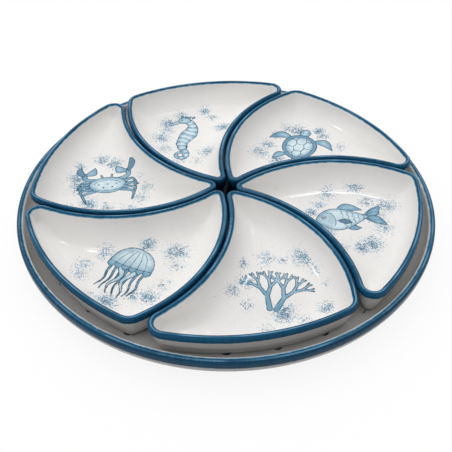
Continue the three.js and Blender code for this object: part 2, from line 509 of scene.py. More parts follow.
def dish_rings(inset):
    """Counter-clockwise rings from the tip, one for each inset: hollow side, hook, edge, shoulder, bulge,
    tip. A corner's radius shrinks by the inset down to the least one, which grows again deeper in the
    bowl."""
    bulge = headed(SWIRL_RADIUS + SWIRL_MISS, SWIRL_HEADING)
    hollow = headed(SWIRL_RADIUS + SWIRL_MISS, SWIRL_HEADING - DISH_TURN)
    edge = headed(DISH_REACH - EDGE_RADIUS, EDGE_HEADING)
    bulge_radius = SWIRL_RADIUS - DISH_GAP / 2 - inset
    hollow_radius = SWIRL_RADIUS + DISH_GAP / 2 + inset
    edge_radius = EDGE_RADIUS - inset
    least = LEAST_CORNER_RADIUS + CORNER_SOFTENING * np.maximum(inset - DISH_RIM_WIDTH, 0)
    corners = (TIP_RADIUS, HOOK_RADIUS, SHOULDER_RADIUS)
    tip_radius, hook_radius, shoulder_radius = (np.maximum(radius - inset, least) for radius in corners)
    tip = crossing(hollow, hollow_radius + tip_radius, bulge, bulge_radius - tip_radius)
    hook = crossing(edge, edge_radius - hook_radius, hollow, hollow_radius + hook_radius)
    shoulder = crossing(edge, edge_radius - shoulder_radius, bulge, bulge_radius - shoulder_radius)
    hollow_start, hollow_end = angle_from(hollow, tip), angle_from(hollow, hook)
    edge_start, edge_end = angle_from(edge, hook), angle_from(edge, shoulder)
    bulge_start, bulge_end = angle_from(bulge, shoulder), angle_from(bulge, tip)
    return np.concatenate([
        arcs(hollow, hollow_radius, hollow_start, hollow_end, SIDE_STEPS, clockwise=True),
        arcs(hook, hook_radius, hollow_end + np.pi, edge_start, CORNER_STEPS),
        arcs(edge, edge_radius, edge_start, edge_end, SIDE_STEPS),
        arcs(shoulder, shoulder_radius, edge_end, bulge_start, CORNER_STEPS),
        arcs(bulge, bulge_radius, bulge_start, bulge_end, SIDE_STEPS),
        arcs(tip, tip_radius, bulge_end, hollow_start + np.pi, CORNER_STEPS),
    ], axis=1)


def evened(rings, share):
    """Moves the points of each ring along it, by a share of the way to even spacing."""
    moved = np.empty_like(rings)
    for level, (ring, part) in enumerate(zip(rings, share)):
        closed = np.vstack([ring, ring[:1]])
        run = np.r_[0, np.cumsum(np.hypot(*np.diff(closed, axis=0).T))]
        even = np.linspace(0, run[-1], len(ring), endpoint=False)
        wanted = (1 - part) * run[:-1] + part * even
        moved[level, :, 0] = np.interp(wanted, run, closed[:, 0])
        moved[level, :, 1] = np.interp(wanted, run, closed[:, 1])
    return moved


outline = dish_rings(np.zeros(1))[0]
reach = np.hypot(*outline.T)
print(f"dish outline: {len(outline)} points, {reach.min():.1f} to {reach.max():.1f} mm from the middle")

# %% [markdown]
# ## From rings to a closed skin
# A stack of equal rings is a grid: one parameter runs round the piece and the other along its section.
# Four neighbours in the grid make a face. The first ring is closed by a fan to a point below, and the
# last one by a fan to a point on the floor, so the skin has no open edge. Numbers that the paint needs
# ride on the mesh's points.

# %% Closed skins
FAR = 9.0


def closed_skin(name, rings, low_pole, high_pole):
    """A mesh through rings[level, step], closed by fans to two poles, in metres from millimetres."""
    levels, around = rings.shape[:2]
    count = levels * around
    here = np.arange(count).reshape(levels, around)
    beside = np.roll(here, -1, axis=1)
    quads = np.stack([here[:-1], beside[:-1], beside[1:], here[1:]], axis=-1).reshape(-1, 4)
    low = np.stack([beside[0], here[0], np.full(around, count)], axis=-1)
    high = np.stack([here[-1], beside[-1], np.full(around, count + 1)], axis=-1)
    points = np.vstack([rings.reshape(-1, 3), low_pole, high_pole]) * MM
    mesh = bpy.data.meshes.new(name)
    mesh.from_pydata(points.tolist(), [], quads.tolist() + low.tolist() + high.tolist())
    mesh.polygons.foreach_set("use_smooth", np.ones(len(mesh.polygons), bool))
    return mesh


def carry(mesh, name, values):
    """Puts a number, or a vector, on every point of the mesh."""
    values = np.asarray(values, np.float32)
    is_vector = values.ndim == 2
    kind = "FLOAT_VECTOR" if is_vector else "FLOAT"
    attribute = mesh.attributes.new(name, kind, "POINT")
    attribute.data.foreach_set("vector" if is_vector else "value", values.ravel())


def rim_trail(ring, crest_run, slip):
    """A seamless place along the rim for every point: the way round, bent into a circle of the same
    length, and the distance from the crest along the section. Outside the crest this distance is
    multiplied by the slip."""
    steps = np.hypot(*(np.roll(ring, -1, axis=0) - ring).T)
    length = steps.sum()
    angle = 2 * np.pi * (np.cumsum(steps) - steps) / length
    circle = np.c_[np.cos(angle), np.sin(angle)] * length / (2 * np.pi)
    run = crest_run[:, None] * np.where(crest_run[:, None] < 0, slip, 1.0)
    return np.dstack([np.tile(circle, (len(run), 1, 1)), run])


def per_point(values, around):
    """One number for each ring, given to all points of the ring and to the poles at both ends."""
    return np.r_[np.repeat(values, around), values[0], values[-1]]


def crest_runs(section, before, after):
    """Distances from the crest for the rings of a section and for the flat rings before and after it."""
    run = run_from_crest(section)
    return np.r_[np.full(before, run[0] - FAR), run, np.full(after, run[-1] + FAR)]


def glazed_skin(name, rings, poles, rim, crest, slip, drift=0.0):
    """A closed skin that carries the place of its rim paint, moved outward by the drift, and its bare
    foot."""
    mesh = closed_skin(name, rings, *poles)
    trail = rim_trail(rim, crest, slip)
    trail[:, :, 2] += drift
    trail = trail.reshape(-1, 3)
    carry(mesh, "rim_trail", np.vstack([trail, trail[0], trail[-1]]))
    heights = np.r_[rings[:, :, 2].ravel(), poles[0][2], poles[1][2]]
    above_foot = heights - rings[:, :, 2].min()
    carry(mesh, "bare_foot", np.clip((SOFT_EDGE / 2 - above_foot) / SOFT_EDGE * 2, 0, 1))
    return mesh


print("skins: rings become closed meshes that carry the paint's numbers")

# %% [markdown]
# ## Brushes
# The floors of the dishes are painted by hand: pale washes with fine dark outlines, and patches of
# sponged specks. Paint is stored as distances. A point of the floor knows how far it lies from the
# nearest painted edge and from the nearest pen line, and the shader turns these smooth numbers into crisp
# strokes. Every figure below is put together from a few forms: a leaf, an egg, a tapering stroke and a
# smooth curve.

# %% Brushes
OUTLINE = 0.42
PEN, FINE_PEN = 0.36, 0.3


def smooth_curve(knots, steps=8):
    """A curve through a few knots, where each stretch is a cubic that leaves along its neighbours'
    chord."""
    knots = np.array(knots, float)
    padded = np.vstack([2 * knots[0] - knots[1], knots, 2 * knots[-1] - knots[-2]])
    before, here, after, later = (padded[i:len(padded) - 3 + i, None] for i in range(4))
    t = (np.arange(steps) / steps)[None, :, None]
    curve = here + (after - before) * t / 2 + (2 * before - 5 * here + 4 * after - later) * t ** 2 / 2
    curve = curve + (3 * here - before - 3 * after + later) * t ** 3 / 2
    return np.vstack([curve.reshape(-1, 2), knots[-1:]])


def leaf(start, end, swell, lean=0.0, skew=1.0, steps=24):
    """A closed leaf: its middle line bows aside by `lean`, and its two sides swell as a sine along it."""
    start, end = np.array(start, float), np.array(end, float)
    share = np.linspace(0, 1, steps)[:, None]
    way = end - start
    aside = np.array([-way[1], way[0]]) / np.hypot(*way)
    middle = start + way * share + aside * lean * np.sin(np.pi * share)
    side = aside * swell * np.sin(np.pi * share ** skew)
    return np.vstack([middle + side, (middle - side)[-2:0:-1]])


def egg(center, half_width, half_height, taper=0.0, steps=48):
    """A closed oval whose width grows by `taper` towards its top."""
    angle = np.linspace(0, 2 * np.pi, steps, endpoint=False)
    across = half_width * np.cos(angle) * (1 + taper * np.sin(angle))
    return np.c_[across, half_height * np.sin(angle)] + center


def line_gap(points, line, width):
    """Distance from each point to a line, less the line's half width there, which may change along it."""
    line = np.asarray(line, float)
    width = np.broadcast_to(np.linspace(*width, len(line)) if np.ndim(width) else width, len(line))
    way = np.diff(line, axis=0)
    ahead = points[:, None] - line[:-1]
    share = np.clip((ahead * way).sum(-1) / np.maximum((way * way).sum(-1), 1e-9), 0, 1)
    apart = np.linalg.norm(ahead - share[..., None] * way, axis=-1)
    return (apart - (width[:-1] + share * np.diff(width))).min(1)


def shape_gap(points, outline):
    """Signed distance from a closed outline, negative inside it. A point is inside if a ray crosses it an
    odd number of times."""
    closed = np.vstack([outline, outline[:1]])
    start, end = closed[:-1], closed[1:]
    x, y = points[:, :1], points[:, 1:]
    spans = (start[:, 1] > y) != (end[:, 1] > y)
    rise = np.where(end[:, 1] == start[:, 1], 1e-9, end[:, 1] - start[:, 1])
    crosses = spans & (x < start[:, 0] + (y - start[:, 1]) * (end[:, 0] - start[:, 0]) / rise)
    inside = crosses.sum(1) % 2 == 1
    return np.where(inside, -1, 1) * line_gap(points, closed, 0.0)


class Painting:
    """The paint on one floor: distance to filled shapes, distance to pen lines, and how dark the wash
    is."""

    def __init__(self, points):
        self.points = points
        self.shape = np.full(len(points), FAR)
        self.pen = np.full(len(points), FAR)
        self.tone = np.zeros(len(points))

    def fill(self, gap, tone):
        """Lays a wash over what was painted before, with a pen line round it."""
        self.tone = np.where(gap < 0, tone, self.tone)
        self.pen = np.minimum(np.where(gap < -OUTLINE, FAR, self.pen), np.abs(gap) - OUTLINE)
        self.shape = np.minimum(self.shape, gap)

    def form(self, outline, tone):
        """A wash inside a closed outline."""
        self.fill(shape_gap(self.points, outline), tone)

    def stroke(self, line, width, tone):
        """A wash along a line."""
        self.fill(line_gap(self.points, line, width), tone)

    def draw(self, line, width=PEN):
        """A pen line."""
        self.pen = np.minimum(self.pen, line_gap(self.points, line, width))


def mirrored(points):
    """Points on the other side of the figure's own upright."""
    return np.array(points, float) * (-1, 1)


BOTH_SIDES = ((1, np.array), (-1, mirrored))
print("brushes: leaf, egg, stroke and curve")

# %% [markdown]
# ## Six sea creatures
# Each floor carries one plain figure from the sea, drawn in its own millimetres with its middle at zero.
# They are ordinary folk motifs: a fish, a branch of coral, a turtle, a crab, a jellyfish and a seahorse.

# %% Fish and coral
def paint_fish(sheet):
    """A round fish that swims to the left, with scales as rows of small arcs."""
    for side in (1, -1):
        sheet.form(leaf((13, 0), (32, 13 * side), 4.6, -2.5 * side), 0.85)
    sheet.form(leaf((-12, 9), (15, 9), 5.0, 5.5), 0.85)
    sheet.form(leaf((-6, -9), (9, -14), 3.2, -1.0), 0.85)
    body = leaf((-30, 0), (19, 0), 14.0, 0.0, 0.72)
    sheet.form(body, 0.25)
    face = shape_gap(sheet.points, egg((-24, 0), 11, 14)) < 0
    sheet.tone = np.where(face, 0.6, sheet.tone) * (sheet.shape < 0)
    nape = np.linspace(-1.1, 1.1, 12)
    sheet.draw(np.c_[-17 + 5 * np.cos(nape), 10 * np.sin(nape)])
    bow = np.linspace(-1.2, 1.2, 7)
    for column in range(5):
        places = np.arange(-2, 3) * 5.0 + 2.5 * (column % 2)
        for height in places[np.abs(places) < 10.5 - 1.7 * column]:
            sheet.draw(np.c_[-6 + 4.6 * column + 2.3 * np.cos(bow), height + 2.4 * np.sin(bow)], FINE_PEN)
    sheet.form(leaf((-10, -2), (2, -6), 3.0, 0.5), 1.3)
    sheet.form(egg((-22, 3.4), 2.4, 2.4), 0.0)
    sheet.draw([(-22.2, 3.4), (-21.8, 3.4)], 1.0)
    for share in (0.35, 0.65):
        for side in (1, -1):
            knots = [(17, 2 * side), (23, 14 * side * share), (28, 16 * side * share)]
            sheet.draw(smooth_curve(knots, 4), 0.28)


def paint_coral(sheet):
    """A branching sprig: every twig forks in two, and each fork is shorter and thinner."""
    roots = np.array([(-3.0, -27.0), (3.5, -27.0)])
    headings = np.radians([108.0, 74.0])
    length, width = 17.0, 2.7
    for level in range(5):
        tips = roots + length * np.c_[np.cos(headings), np.sin(headings)]
        for root, tip in zip(roots, tips):
            twig = line_gap(sheet.points, [root, tip], (width, width * 0.8))
            sheet.shape = np.minimum(sheet.shape, twig)
        spread = math.radians(27 - 2 * level)
        roots = np.repeat(tips, 2, axis=0)
        headings = (headings[:, None] + np.array([spread, -0.85 * spread])).ravel()
        length, width = length * 0.74, width * 0.78
    sheet.tone = np.clip(1.2 - 0.022 * (sheet.points[:, 1] + 27), 0.1, 1.0)


print("painted figures: fish, coral")

# %% Turtle and crab
def paint_turtle(sheet):
    """A turtle from above, with its head up, and plates as rings and spokes on its shell."""
    for side, flip in BOTH_SIDES:
        sheet.form(leaf(*flip([(8, 11), (33, 5)]), 5.0, 7.0 * side), 0.75)
        sheet.form(leaf(*flip([(8, -13), (20, -26)]), 3.8, 2.5 * side), 0.75)
    sheet.form(leaf((0, -16), (0, -27), 1.8), 0.8)
    sheet.form(egg((0, 24), 5.2, 6.8, 0.1), 0.55)
    sheet.form(egg((0, 0), 17.0, 20.0, 0.1), 1.15)
    inner = egg((0, 0), 13.2, 16.0, 0.1)
    gap = shape_gap(sheet.points, inner)
    sheet.tone = np.where(gap < 0, np.clip(0.9 + 0.16 * gap, 0.15, 0.7), sheet.tone)
    sheet.draw(np.vstack([inner, inner[:1]]))
    ridge = [(3.0, 16), (5.4, 10), (3.6, 4.5), (5.4, -1), (3.6, -6.5), (4.6, -11), (2.6, -15)]
    for _, flip in BOTH_SIDES:
        sheet.draw(flip(ridge))
        for start, end in (((5.4, 10), (11.5, 11)), ((5.4, -1), (13.4, -1)), ((4.6, -11), (9.0, -11.5))):
            sheet.draw(flip([start, end]))
        sheet.draw(flip([(2.6, 26), (2.7, 26.2)]), 0.7)
    for height in (4.5, -6.5):
        sheet.draw([(-3.6, height), (3.6, height)])


def paint_crab(sheet):
    """A crab from above, with four bent legs and a claw on each side."""
    for side, flip in BOTH_SIDES:
        for leg in range(4):
            knee = (25 + 2.0 * math.sin(leg), 6 - 6.5 * leg)
            foot = (31 - 2.6 * leg, -4 - 7.2 * leg)
            sheet.stroke(smooth_curve(flip([(13, 1 - 3 * leg), knee, foot])), (2.2, 0.6), 0.8)
        sheet.stroke(smooth_curve(flip([(11, 8), (22, 12), (22, 19)])), (2.4, 2.4), 0.7)
        sheet.form(leaf(*flip([(23, 17), (26, 33)]), 3.6, -2.6 * side, 0.8), 1.2)
        sheet.form(leaf(*flip([(21, 18), (11, 30)]), 4.4, 3.2 * side, 0.8), 0.7)
        sheet.stroke(flip([(4, 10), (5.4, 16)]), (0.9, 0.8), 0.3)
        sheet.draw(flip([(5.4, 16.6), (5.5, 16.8)]), 1.1)
    shell = shape_gap(sheet.points, egg((0, 0), 18.5, 12.5, 0.12))
    sheet.fill(shell, np.clip(0.75 + 0.09 * shell, 0.1, 0.75))
    brow = np.linspace(-1.15, 1.15, 16)
    sheet.draw(np.c_[15 * np.sin(brow), -2 + 10 * np.cos(brow)])
    for row, places in enumerate(((-9, 0, 9), (-4.5, 4.5))):
        for across in places:
            sheet.draw([(across, 1.5 - 5 * row), (across + 0.3, 1.5 - 5 * row)], 0.95)
    sheet.draw(smooth_curve([(-10, -7), (0, -9), (10, -7)]))


print("painted figures: turtle, crab")

# %% Jellyfish and seahorse
def paint_jellyfish(sheet):
    """A bell with a scalloped hem, ribbed by arcs, over wavy arms and threads."""
    share = np.linspace(0, 1, 26)
    for thread in range(-3, 4):
        sway = 2.0 * np.sin(2.4 * np.pi * share + thread)
        drop = (33 - 2.0 * abs(thread)) * share
        sheet.stroke(np.c_[5.0 * thread + sway * share, 2 - drop], (1.1, 0.35), 0.9)
    for arm in (-1, 1):
        sway = 2.6 * np.sin(2 * np.pi * share + arm)
        sheet.stroke(np.c_[4.4 * arm + sway, 2 - 25 * share], (2.7, 0.8), 0.15)
    rise = np.linspace(0, np.pi, 30)
    hem = np.linspace(-1, 1, 43)
    dome = np.c_[20 * np.cos(rise), 2 + 24 * np.sin(rise) ** 0.85]
    frill = np.c_[20 * hem, 2 - 3.0 * np.abs(np.sin(3 * np.pi * hem))]
    bell = shape_gap(sheet.points, np.vstack([dome, frill[1:-1]]))
    sheet.fill(bell, np.clip(1.0 - 0.05 * sheet.points[:, 1], 0.15, 1.0))
    climb = np.radians(np.linspace(4, 74, 12))
    for rib in (-0.66, -0.33, 0.0, 0.33, 0.66):
        sheet.draw(np.c_[20 * rib * np.cos(climb), 1 + 23 * np.sin(climb)], FINE_PEN)
    sheet.draw(np.c_[19 * hem, 5.5 - 1.6 * np.cos(np.pi * hem / 2)])


def paint_seahorse(sheet):
    """A body that follows its spine, whose heading swings from the neck to the belly and then curls in
    the tail."""
    share = np.linspace(0, 1, 90)
    curl = np.clip((share - 0.58) / 0.42, 0, 1)
    swing = np.sin(np.pi * np.clip(share / 0.58, 0, 1))
    heading = np.radians(-38 - 75 * swing - 36 * share - 470 * curl ** 1.35)
    step = 98.0 / len(share)
    spine = np.cumsum(np.c_[np.cos(heading), np.sin(heading)] * step, axis=0) + (-5.0, 27.0)
    girth = np.interp(share, (0, 0.1, 0.27, 0.42, 0.58, 1.0), (4.0, 4.2, 8.2, 5.6, 3.2, 0.7))
    sheet.form(leaf(spine[36] + (2, 5), spine[46] + (5, 0), 5.4, -4.5), 0.95)
    reach = np.linalg.norm(sheet.points[:, None] - spine, axis=-1) - girth
    nearest = reach.argmin(1)
    sheet.fill(reach.min(1), 0.15 + 0.55 * (nearest % 6 < 3))
    for ring in range(12, 70, 6):
        across = np.array([-math.sin(heading[ring]), math.cos(heading[ring])]) * girth[ring] * 0.8
        sheet.draw([spine[ring] - across, spine[ring] + across], FINE_PEN)
    sheet.stroke([(-9, 27), (-22, 21.5)], (2.6, 1.7), 0.35)
    sheet.form(egg((-7, 28), 6.4, 5.4), 0.45)
    for spike in range(4):
        base = np.array((-9 + 3.4 * spike, 32.5 - 0.9 * spike))
        sheet.form(leaf(base, base + (0.4 + 0.8 * spike, 4.2), 1.3, steps=10), 0.6)
    sheet.draw([(-9.6, 29), (-9.4, 29)], 1.1)


print("painted figures: jellyfish, seahorse")

# %% [markdown]
# ## Painting a floor
# A figure is turned and moved to its place on a floor, and sponged patches are scattered round it. A
# patch is a soft hump of density, and the shader later breaks it up into specks. The patches come from a
# seeded draw, so the set looks the same every time.

# %% Floors
FIGURE_REACH = 42.0
BLANK_PAINT = {"shape": FAR, "pen": FAR, "tone": 0.0}
FIGURES = {
    "dish_right": (paint_fish, (110, -20), 8, 1.0),
    "dish_rear_right": (paint_turtle, (73, 86), -20, 1.0),
    "dish_rear": (paint_seahorse, (-34, 104), 6, 1.0),
    "dish_left": (paint_crab, (-112, 25), 10, 0.92),
    "dish_front_left": (paint_jellyfish, (-82, -86), -24, 1.0),
    "dish_front": (paint_coral, (42, -106), -12, 0.82),
}
PATCHES = 13
PATCH_STRAY = (-0.3, 0.3)
PATCH_STRENGTH = (0.55, 1.0)
PATCH_RING = (25.0, 46.0)
PATCH_SIZE = (6.5, 12.5)
PATCH_SHORE = (17.0, 25.0)


def paint_floor(points, figure, place, turn, size):
    """The figure's numbers at every point of a floor, in the figure's own turned and sized frame near
    it."""
    angle = math.radians(turn)
    away = (points - place) / size
    local = np.c_[away[:, 0] * math.cos(angle) + away[:, 1] * math.sin(angle),
                  away[:, 1] * math.cos(angle) - away[:, 0] * math.sin(angle)]
    near = np.hypot(*local.T) < FIGURE_REACH
    sheet = Painting(local[near])
    figure(sheet)
    painted = {}
    for name, blank in BLANK_PAINT.items():
        painted[name] = np.full(len(points), blank)
        painted[name][near] = getattr(sheet, name)
    return painted


def sponge_patches(points, runs, place, seed):
    """Density of sponged specks: the highest of several soft humps on a ring round the figure. It fades
    out on the way up the walls, between two distances from the crest."""
    draw = np.random.default_rng(seed)
    angle = 2 * np.pi * (np.arange(PATCHES) + draw.uniform(*PATCH_STRAY, PATCHES)) / PATCHES
    ring = draw.uniform(*PATCH_RING, PATCHES)
    middle = np.c_[np.cos(angle), np.sin(angle)] * ring[:, None] + place
    size = draw.uniform(*PATCH_SIZE, PATCHES)
    strength = draw.uniform(*PATCH_STRENGTH, PATCHES)
    apart = np.linalg.norm(points[:, None] - middle, axis=-1) / size
    shore = np.clip((runs - PATCH_SHORE[0]) / (PATCH_SHORE[1] - PATCH_SHORE[0]), 0, 1)
    return (strength * np.exp(-apart ** 2)).max(1) * shore


print(f"floors: {len(FIGURES)} figures, each with {PATCHES} sponged patches")

# %% [markdown]
# ## White glaze, brushed blue and bare clay
# Three finishes are shared by the tray and the dishes, so each is a node group. The glaze is a warm white
# that varies a little and ripples like any poured coat. On the outside, and in the well of the tray, the
# white is painted greyer than in the bowls, as painted shade. The blue was brushed on the rim: it is thin
# and pale at its edges, streaked by the brush, and dark where it lies thick, and a pale line along its
# crest is a painted highlight. The foot ring shows the fired clay.

# %% Shared finishes
GLAZE_WHITE = (0.835, 0.818, 0.800, 1)
GLAZE_SHADE = (0.800, 0.786, 0.772, 1)
# The grey of painted shade, for the outsides and the tray's well.
GLAZE_PAINTED_SHADE = (0.610, 0.598, 0.582, 1)
BLUE_DEEP = (0.0006, 0.038, 0.090, 1)
BLUE_MID = (0.001, 0.100, 0.212, 1)
BLUE_THIN = (0.110, 0.335, 0.490, 1)
# The pale blue of a painted highlight along the rim's crest.
BLUE_PAINTED_HIGHLIGHT = (0.230, 0.480, 0.680, 1)
CREST_SHIFT = 0.1
INNER_FADE = 0.6
CLAY = (0.60, 0.50, 0.40, 1)
CLAY_DARK = (0.47, 0.38, 0.30, 1)
CLOUDS, GLOSS_CLOUDS, RIPPLES, PEEL, GRAIN = 22.0, 60.0, 90.0, 420.0, 900.0  # features per metre
CLOUD_STEP, GRAIN_STEP = (0.35, 0.7), (0.35, 0.65)
GLOSS_RANGE, GLOSS_LEAST = 0.07, 0.06
RIPPLE_SHARE, PEEL_SHARE = 0.8, 0.2
WANDER, WANDER_SCALE, EDGE_STEP = 0.7, 0.16, (-0.1, 0.55)
ACROSS_STRETCH, ACROSS_SCALE, ACROSS_SHARE = (1, 1, 0.15), 0.5, 0.35
ALONG_STRETCH, ALONG_SCALE, ALONG_SHARE = (0.02, 0.02, 1.0), 0.35, 0.65
STREAK_STEP = (0.25, 0.80)
# The painted highlight along the crest: how narrow it is, and where the streaks and the way round break it
# up.
HIGHLIGHT_STEP, HIGHLIGHT_STREAKS = (0.9, 0.2), (0.25, 0.5)
HIGHLIGHT_SCALE, HIGHLIGHT_PLACES, HIGHLIGHT_RANGE, HIGHLIGHT_LEAST = 0.03, (0.42, 0.62), 0.42, 0.16
FADE_RANGE, FADE_LEAST, FADE_END = 1.2, 0.35, 0.2


def glaze_group():
    """Cloudy warm white, a little uneven gloss, and the ripple of a poured coat, all from object
    coordinates. The second input is 0 for the plain white and 1 for the grey of painted shade."""
    group, read, write = new_group("poured_glaze", ("Place", "Thin"), ("Colour", "Roughness", "Height"))
    cloud = noise(group, read["Place"], CLOUDS, 3.0)
    full = mixed(group, ease(group, cloud, *CLOUD_STEP), GLAZE_WHITE, GLAZE_SHADE)
    # Where the second input is 1, the white is painted grey: painted shade.
    feed(group, write["Colour"], mixed(group, read["Thin"], full, GLAZE_PAINTED_SHADE))
    gloss = noise(group, read["Place"], GLOSS_CLOUDS)
    feed(group, write["Roughness"], calc(group, "MULTIPLY_ADD", gloss, GLOSS_RANGE, GLOSS_LEAST))
    ripple = calc(group, "MULTIPLY", noise(group, read["Place"], RIPPLES, 1.0), RIPPLE_SHARE)
    peel = calc(group, "MULTIPLY", noise(group, read["Place"], PEEL, 1.0), PEEL_SHARE)
    feed(group, write["Height"], calc(group, "ADD", ripple, peel))
    return group


def blue_group():
    """Blue between two distances from the crest. Cover is 1 where there is paint, and the colour goes
    from pale at the wavering edges to deep, with streaks across the rim and along it, and a pale line
    along the crest that is a painted highlight."""
    group, read, write = new_group("brushed_blue", ("Trail", "Inner", "Outer"), ("Cover", "Colour"))
    crest_run = split(group, read["Trail"])["Z"]
    way_round = stretched(group, read["Trail"], (1, 1, 0))
    wander = noise(group, way_round, WANDER_SCALE, 3.0)
    wander = calc(group, "MULTIPLY_ADD", wander, 2 * WANDER, -WANDER)
    from_inner = calc(group, "ADD", calc(group, "SUBTRACT", read["Inner"], crest_run), wander)
    from_outer = calc(group, "ADD", calc(group, "ADD", read["Outer"], crest_run), wander)
    inside = calc(group, "MINIMUM", from_inner, from_outer)
    feed(group, write["Cover"], ease(group, inside, *EDGE_STEP))
    across = noise(group, stretched(group, read["Trail"], ACROSS_STRETCH), ACROSS_SCALE, 2.0)
    along = noise(group, stretched(group, read["Trail"], ALONG_STRETCH), ALONG_SCALE, 2.0)
    streak = calc(group, "MULTIPLY", across, ACROSS_SHARE)
    streak = calc(group, "MULTIPLY_ADD", along, ALONG_SHARE, streak)
    body = mixed(group, ease(group, streak, *STREAK_STEP), BLUE_DEEP, BLUE_MID)
    # A pale line along the crest, broken up by the streaks and in places along the rim: a painted
    # highlight.
    crest = calc(group, "ABSOLUTE", calc(group, "ADD", crest_run, CREST_SHIFT))
    crest_highlight = calc(group, "MULTIPLY", ease(group, crest, *HIGHLIGHT_STEP), ease(group, streak, *HIGHLIGHT_STREAKS))
    places = ease(group, noise(group, way_round, HIGHLIGHT_SCALE, 1.0), *HIGHLIGHT_PLACES)
    crest_highlight = calc(group, "MULTIPLY", crest_highlight, calc(group, "MULTIPLY_ADD", places, HIGHLIGHT_RANGE, HIGHLIGHT_LEAST))
    body = mixed(group, crest_highlight, body, BLUE_PAINTED_HIGHLIGHT)
    thin = calc(group, "MULTIPLY_ADD", streak, FADE_RANGE, FADE_LEAST)
    slow = calc(group, "MINIMUM", calc(group, "MULTIPLY", from_inner, INNER_FADE), from_outer)
    feed(group, write["Colour"], mixed(group, ease(group, slow, thin, FADE_END), body, BLUE_THIN))
    return group


def clay_group():
    """Fired clay with a sandy grain."""
    group, read, write = new_group("bare_clay", ("Place",), ("Colour", "Height"))
    grain = noise(group, read["Place"], GRAIN, 3.0, 0.6)
    feed(group, write["Colour"], mixed(group, ease(group, grain, *GRAIN_STEP), CLAY_DARK, CLAY))
    feed(group, write["Height"], grain)
    return group


poured_glaze, brushed_blue, bare_clay = glaze_group(), blue_group(), clay_group()
print("shared finishes:", ", ".join(group.name for group in bpy.data.node_groups))

# %% [markdown]
# ## Paint on the floors
# The wash is a watercolour: paler inside, darker to its edge, and cloudy. The pen line wavers in
# strength. The specks come from two noises that are cut off where a patch is thin, as a dabbed sponge
# leaves them. In the middle of the tray's well a round navy spot is painted shade, which makes the middle
# of the swirl and the slots between the dishes dark. A ring of comma strokes near the wall only shows
# between the dishes and the tray's wall.

# %% Wash, pen and sponge
WASH_PALE = (0.640, 0.780, 0.830, 1)
WASH_DEEP = (0.100, 0.300, 0.450, 1)
WASH_ACCENT = (0.010, 0.115, 0.230, 1)
PEN_INK = (0.030, 0.085, 0.140, 1)
SPECK_SLATE = (0.070, 0.150, 0.240, 1)
SPECK_PALE = (0.420, 0.620, 0.740, 1)
WASH_CLOUDS, PRESSURE, DABS, SPECKS = 120.0, 320.0, 330.0, 1000.0  # features per metre
WASH_STEP, WASH_COVER, ACCENT_STEP = (0.25, -0.2), 0.88, (1.0, 1.4)
WASH_EDGE, EDGE_DEPTH, TONE_DEPTH = (-5.0, 0.0), 0.44, 0.85
CLOUD_RANGE, CLOUD_LEAST = 1.1, -0.60
PEN_STEP, PRESS_STEP = (0.18, -0.14), (0.1, 0.6)
DAB_DENSITY, DAB_LEVEL, DAB_STEP, DAB_COVER = 0.34, 0.66, (0.0, 0.16), 0.75
SPECK_DENSITY, SPECK_LEVEL, SPECK_STEP, SPECK_COVER = 0.29, 0.70, (0.0, 0.07), 0.9
SPECK_DABS, SPECK_DROP = 0.14, 0.07
COMMAS = 26
COMMA_RADIUS = 167.0
COMMA_HALF = (2.2, 6.5)
COMMA_BOW, COMMA_TAPER, COMMA_BULK = 1.2, (0.4, 0.6), 0.34
# The radius of the navy spot of painted shade in the middle of the well.
SHADE_SPOT_RADIUS = 58.0
BRUSH_EDGE = 0.4


def figure_group():
    """A painted figure over a ground colour, from its distances and its tone. A tone above 1 is a dark
    accent."""
    inputs = ("Ground", "Place", "Shape", "Pen", "Tone")
    group, read, write = new_group("painted_figure", inputs, ("Colour",))
    cloud = noise(group, read["Place"], WASH_CLOUDS, 3.0, 0.6)
    cloud = calc(group, "MULTIPLY_ADD", cloud, CLOUD_RANGE, CLOUD_LEAST)
    edge = ease(group, read["Shape"], *WASH_EDGE)
    depth = calc(group, "MULTIPLY_ADD", edge, EDGE_DEPTH, calc(group, "MULTIPLY", read["Tone"], TONE_DEPTH))
    depth = calc(group, "ADD", depth, cloud, clamp=True)
    wash = mixed(group, depth, WASH_PALE, WASH_DEEP)
    wash = mixed(group, ease(group, read["Tone"], *ACCENT_STEP), wash, WASH_ACCENT)
    covered = calc(group, "MULTIPLY", ease(group, read["Shape"], *WASH_STEP), WASH_COVER)
    painted = mixed(group, covered, read["Ground"], wash)
    outline_gap = calc(group, "SUBTRACT", calc(group, "ABSOLUTE", read["Shape"]), OUTLINE)
    pen_gap = calc(group, "MINIMUM", outline_gap, read["Pen"])
    press = noise(group, read["Place"], PRESSURE, 2.0)
    ink = calc(group, "MULTIPLY", ease(group, pen_gap, *PEN_STEP), ease(group, press, *PRESS_STEP))
    feed(group, write["Colour"], mixed(group, ink, painted, PEN_INK))
    return group


def sponge_group():
    """Pale dabs and fine dark specks over a ground colour, thicker where the density is higher."""
    group, read, write = new_group("sponged_specks", ("Ground", "Place", "Density"), ("Colour",))
    dabs = noise(group, read["Place"], DABS, 3.0, 0.7)
    level = calc(group, "SUBTRACT", dabs, DAB_LEVEL)
    level = calc(group, "MULTIPLY_ADD", read["Density"], DAB_DENSITY, level)
    haze = calc(group, "MULTIPLY", ease(group, level, *DAB_STEP), DAB_COVER)
    hazed = mixed(group, haze, read["Ground"], SPECK_PALE)
    fine = noise(group, read["Place"], SPECKS, 2.0, 0.6)
    level = calc(group, "SUBTRACT", fine, SPECK_LEVEL)
    level = calc(group, "MULTIPLY_ADD", read["Density"], SPECK_DENSITY, level)
    level = calc(group, "MULTIPLY_ADD", dabs, SPECK_DABS, calc(group, "SUBTRACT", level, SPECK_DROP))
    speck = calc(group, "MULTIPLY", ease(group, level, *SPECK_STEP), SPECK_COVER)
    feed(group, write["Colour"], mixed(group, speck, hazed, SPECK_SLATE))
    return group


